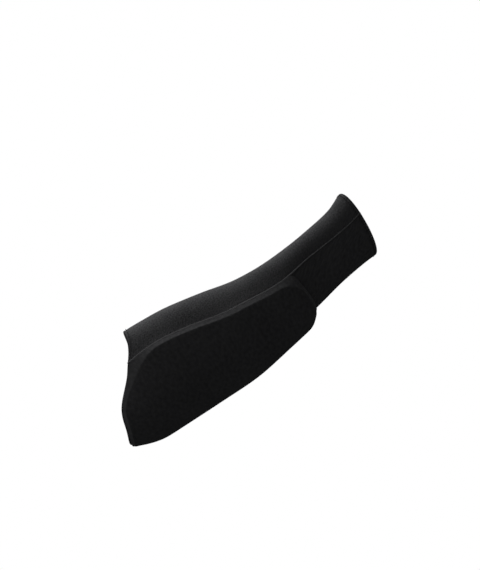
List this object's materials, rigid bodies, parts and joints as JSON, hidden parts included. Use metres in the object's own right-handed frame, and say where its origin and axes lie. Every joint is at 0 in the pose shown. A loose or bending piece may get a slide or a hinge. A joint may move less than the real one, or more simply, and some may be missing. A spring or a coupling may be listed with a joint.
{
  "type": "forearm pad",
  "caption": "Elasticated knit forearm sleeve with a bevelled foam pad along its outer edge, a slanted elbow rim and a narrow wrist rim, kept in the form it has when worn.",
  "frame": {"origin": "on the forearm's axis near the middle of the sleeve's length, where the forearm holds it", "axes": "+X along the forearm from elbow to wrist, +Z the thumb side, -Z the padded outer edge, and the sleeve alike on both sides of the XZ plane"},
  "size_m": [0.287, 0.0954, 0.1029],
  "materials": {
    "charcoal_knit": "matte fine elasticated knit",
    "black_knit": "matte fine elasticated knit",
    "pad_cover": "matte close knit over foam",
    "seam_thread": "matte sewing thread"
  },
  "bodies": {
    "root": {"upper_panel": "charcoal_knit", "lower_panel": "black_knit", "pad": "pad_cover", "near_seam": "seam_thread", "far_seam": "seam_thread"}
  },
  "joints": []
}
